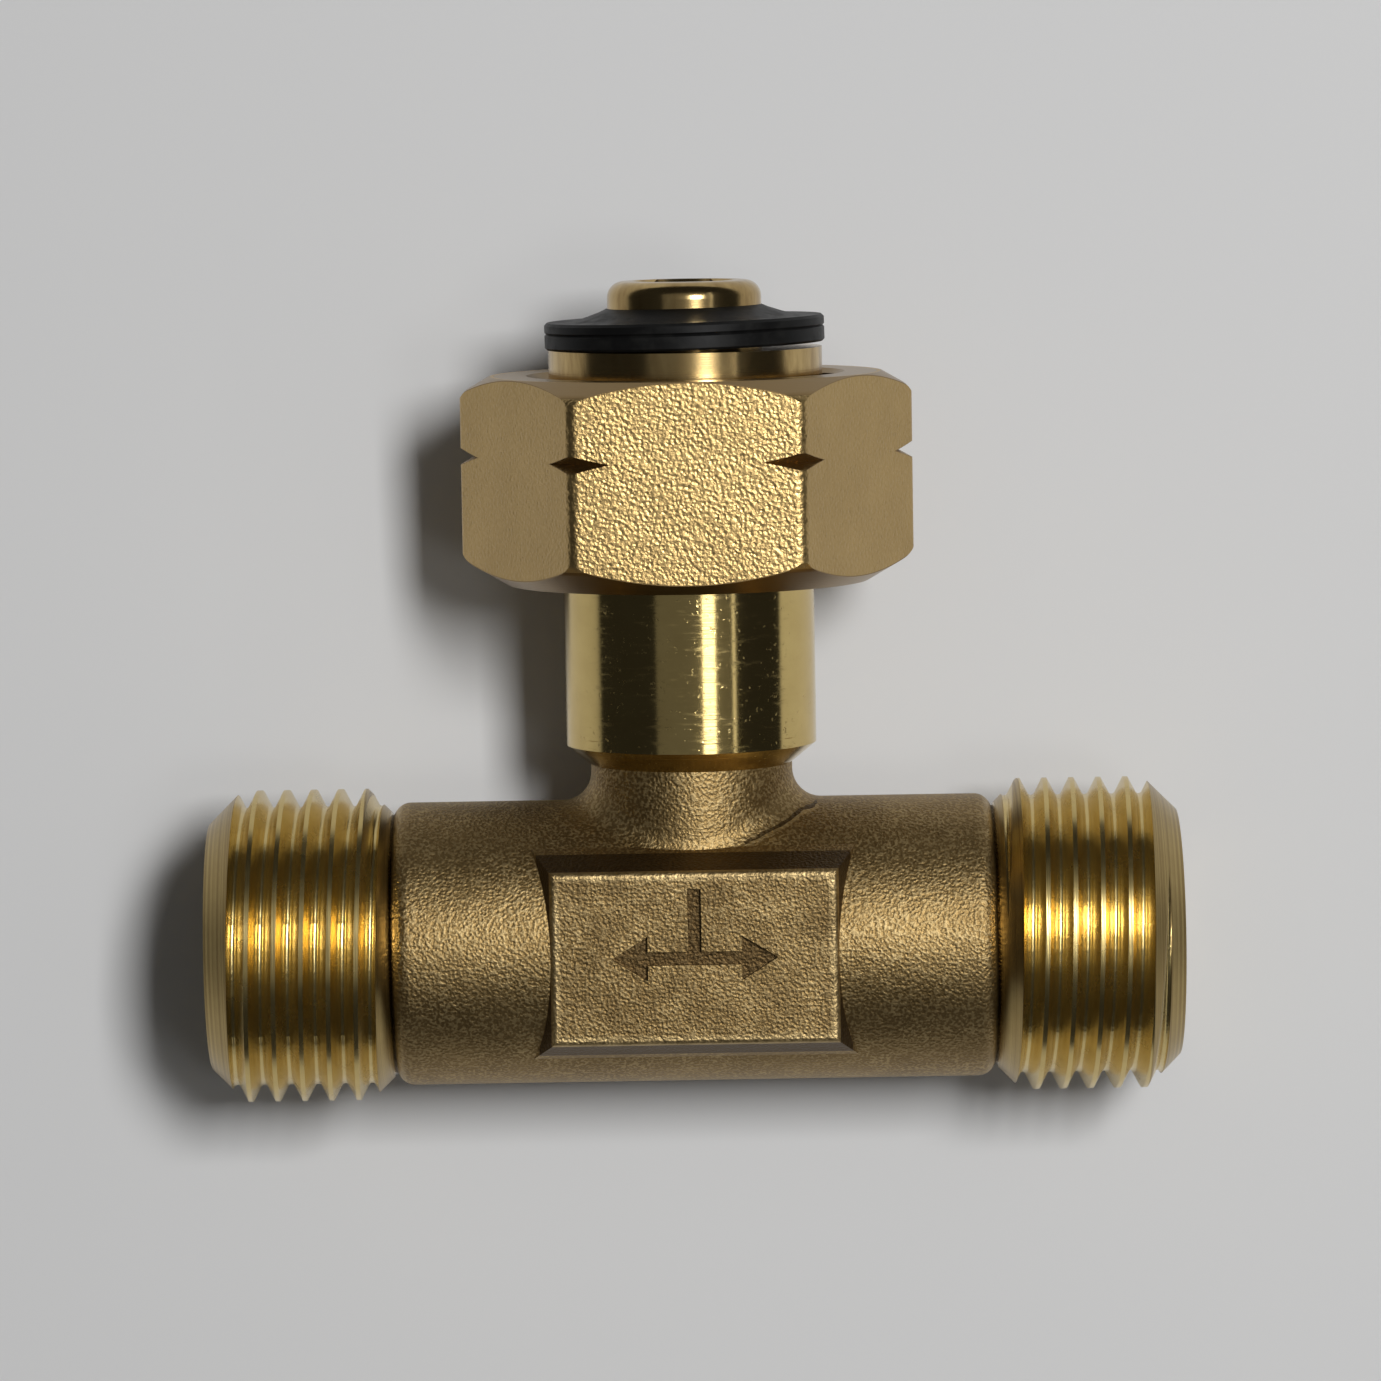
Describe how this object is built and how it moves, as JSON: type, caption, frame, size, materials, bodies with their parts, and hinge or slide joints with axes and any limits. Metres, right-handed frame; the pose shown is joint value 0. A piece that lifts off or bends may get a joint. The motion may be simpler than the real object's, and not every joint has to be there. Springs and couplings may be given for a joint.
{
  "type": "gas inlet tee",
  "caption": "Brass tee for bottled gas: loose left-hand union nut and rubber ring on the turned inlet branch, non-return valve inside it, male thread on both outlets",
  "frame": {"origin": "on the branch axis, in the plane of the nipple's collar that the sealing ring seats on", "axes": "+Y leaves through the inlet along the branch, +X runs along the run to the right outlet, +Z leaves the face of the marking pad"},
  "size_m": [0.065, 0.0548, 0.0264],
  "materials": {
    "forged_brass": "blasted forging, turned where it seals and screws",
    "nut_brass": "blasted forging",
    "turned_brass": "bright turned",
    "rubber": "matt moulded nitrile",
    "spring_steel": "bright drawn wire"
  },
  "bodies": {
    "tee": {"tee_body": "forged_brass", "inlet_nipple": "turned_brass", "nipple_o_ring": "rubber", "sealing_ring": "rubber", "spring_guide": "turned_brass", "check_spring": "spring_steel", "outlet_seal_left": "rubber", "outlet_seal_right": "rubber"},
    "nut": {"union_nut": "nut_brass"},
    "poppet": {"check_poppet": "turned_brass", "poppet_seal": "rubber"}
  },
  "joints": [
    {"name": "union_nut_slide", "type": "slide", "parent": "tee", "child": "nut", "axis": [0, 1, 0], "range_m": [-0.0146, 0.009]},
    {"name": "check_valve_slide", "type": "slide", "parent": "tee", "child": "poppet", "axis": [0, -1, 0], "range_m": [0, 0.002], "stiffness_N_per_m": 150, "springref_m": -0.003, "deforming": ["check_spring"]}
  ]
}
